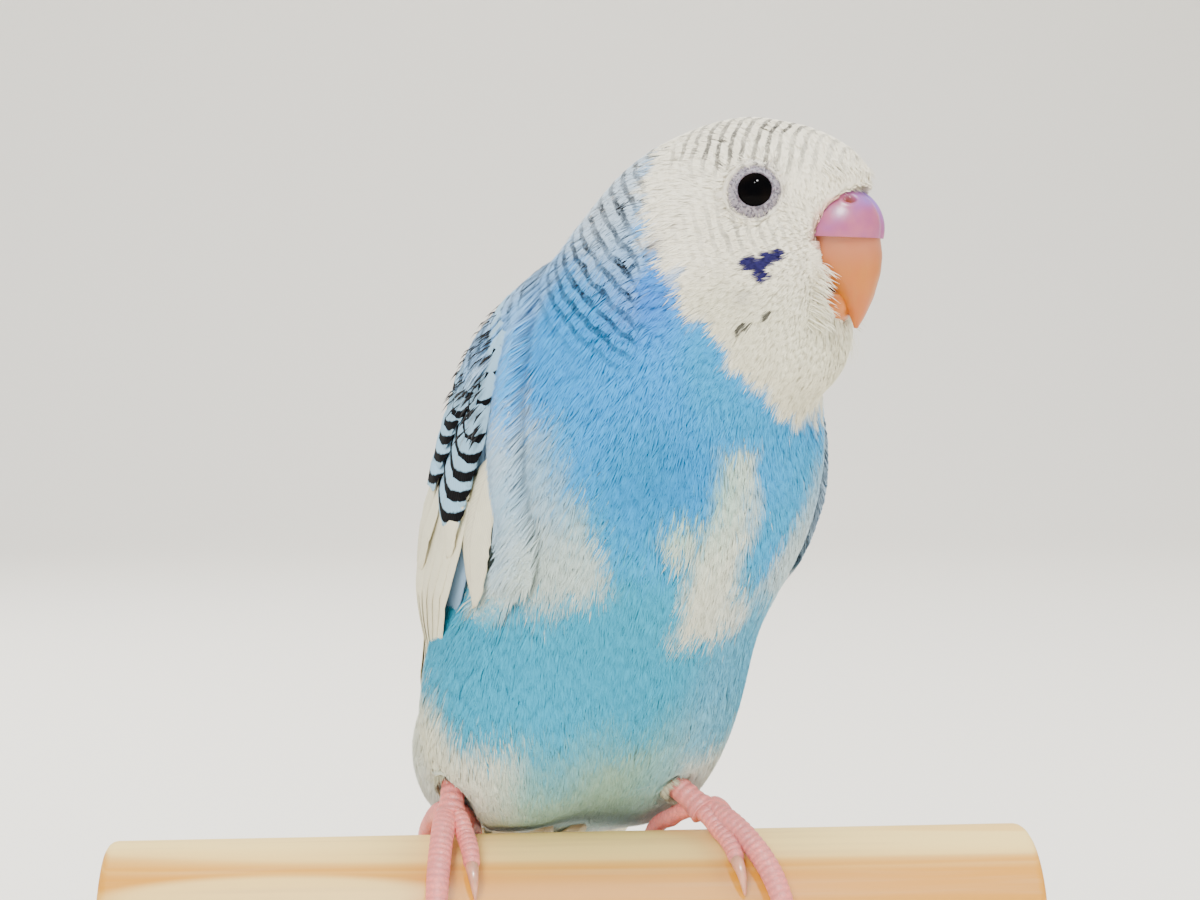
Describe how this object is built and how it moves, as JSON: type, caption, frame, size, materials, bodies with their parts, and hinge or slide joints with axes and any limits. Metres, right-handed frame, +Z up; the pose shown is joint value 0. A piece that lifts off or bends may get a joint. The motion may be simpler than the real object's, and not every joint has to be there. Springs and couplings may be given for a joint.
{
  "type": "budgerigar",
  "caption": "Life-size budgerigar model gripping a short dowel perch, looking over its shoulder, on a plain display stand.",
  "frame": {"origin": "on the floor, on the flat underside of the base, straight below the middle of the perch", "axes": "+Z up, the tallest side; +X along the perch; the bird's breast is towards -Y, turned a little towards +X, and its tail hangs towards +Y"},
  "size_m": [0.12, 0.1034, 0.1806],
  "materials": {
    "plumage_blue": "soft matt feathers",
    "plumage_white": "soft matt feathers",
    "plumage_cream": "smooth matt feathers",
    "foot_skin": "fine scutes, satin",
    "claw_horn": "satin horn",
    "eye": "wet gloss",
    "cere_skin": "satin",
    "bill_horn": "satin horn",
    "perch_wood": "planed pine",
    "base_wood": "white matt paint",
    "rod_steel": "satin"
  },
  "bodies": {
    "root": {"torso": "plumage_blue", "neck": "plumage_blue", "head": "plumage_white", "wing_right": "plumage_cream", "wing_left": "plumage_cream", "tail": "plumage_cream", "leg_right": "plumage_white", "leg_left": "plumage_white", "foot_right": "foot_skin", "foot_left": "foot_skin", "claw_right_1": "claw_horn", "claw_right_2": "claw_horn", "claw_right_3": "claw_horn", "claw_right_4": "claw_horn", "claw_left_1": "claw_horn", "claw_left_2": "claw_horn", "claw_left_3": "claw_horn", "claw_left_4": "claw_horn", "eye_right": "eye", "eye_left": "eye", "cere": "cere_skin", "bill_upper": "bill_horn", "bill_lower": "bill_horn", "perch": "perch_wood", "stand_base": "base_wood", "stand_rod_right": "rod_steel", "stand_rod_left": "rod_steel"}
  },
  "joints": []
}
